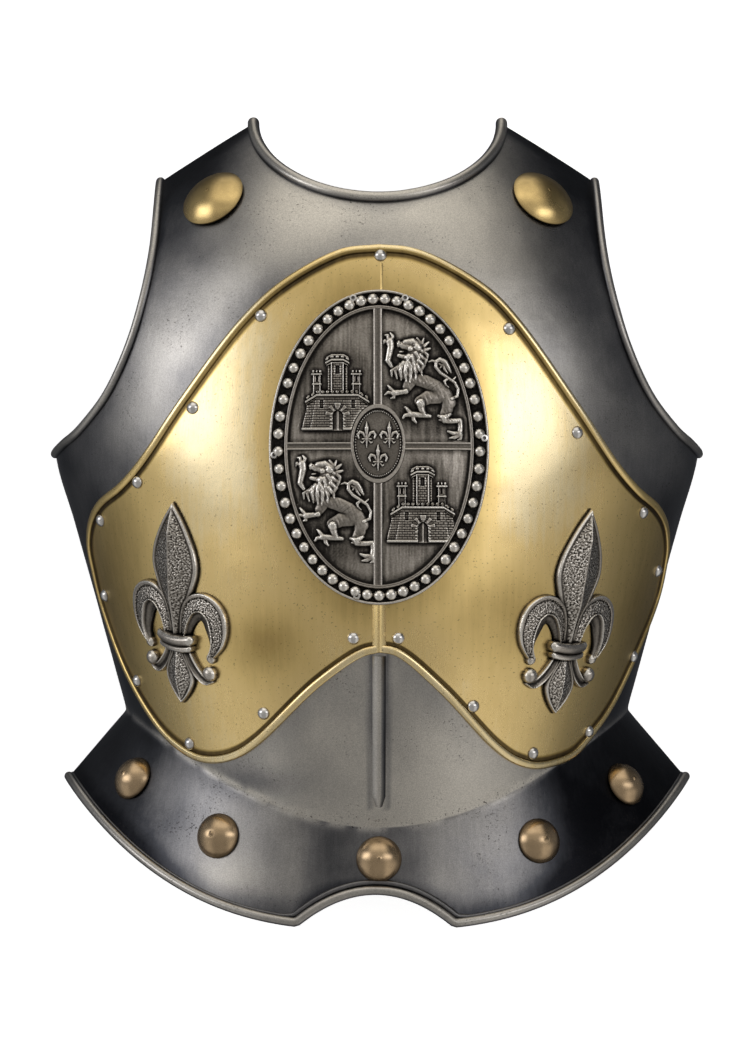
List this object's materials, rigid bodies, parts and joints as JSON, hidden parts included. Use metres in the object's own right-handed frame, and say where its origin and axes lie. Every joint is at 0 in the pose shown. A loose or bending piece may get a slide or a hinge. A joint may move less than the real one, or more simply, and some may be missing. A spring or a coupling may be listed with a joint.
{
  "type": "steel cuirass breastplate",
  "caption": "Rigid steel breastplate with rolled edges and a flared waist flange, a riveted brass overlay, a cast oval medallion, cast fleurs-de-lis and domed bosses.",
  "frame": {"origin": "centre of the bounding box at its base, on the surface that the plate lies on", "axes": "+Z out of the front of the plate, upwards as it lies; +Y towards the neck; +X to the right of someone who looks at its front"},
  "size_m": [0.3908, 0.4744, 0.1729],
  "materials": {
    "steel_plate": "hand-hammered plate, brushed upright, darkened towards the sides, with fine pits",
    "brass_plate": "satin brass with upright brushing and a few dark tarnish clouds",
    "rivet": "polished dome",
    "boss_brass": "polished dome with dark tarnish on its upper side",
    "boss_bronze": "worn antique bronze dome",
    "cast_pewter": "cast pewter, blackened in its hollows and bright on its worn highs"
  },
  "bodies": {
    "root": {"breastplate": "steel_plate", "brass_plate": "brass_plate", "rivet_1": "rivet", "rivet_2": "rivet", "rivet_3": "rivet", "rivet_4": "rivet", "rivet_5": "rivet", "rivet_6": "rivet", "rivet_7": "rivet", "rivet_8": "rivet", "rivet_9": "rivet", "rivet_10": "rivet", "rivet_11": "rivet", "rivet_12": "rivet", "rivet_13": "rivet", "rivet_14": "rivet", "rivet_15": "rivet", "rivet_16": "rivet", "rivet_17": "rivet", "rivet_18": "rivet", "rivet_19": "rivet", "shoulder_boss_1": "boss_brass", "shoulder_boss_2": "boss_brass", "fauld_boss_1": "boss_bronze", "fauld_boss_2": "boss_bronze", "fauld_boss_3": "boss_bronze", "fauld_boss_4": "boss_bronze", "fauld_boss_5": "boss_bronze", "medallion": "cast_pewter", "medallion_pin_1": "rivet", "medallion_pin_2": "rivet", "medallion_pin_3": "rivet", "medallion_pin_4": "rivet", "medallion_pin_5": "rivet", "medallion_pin_6": "rivet", "fleur_de_lis_left": "cast_pewter", "fleur_de_lis_right": "cast_pewter"}
  },
  "joints": []
}
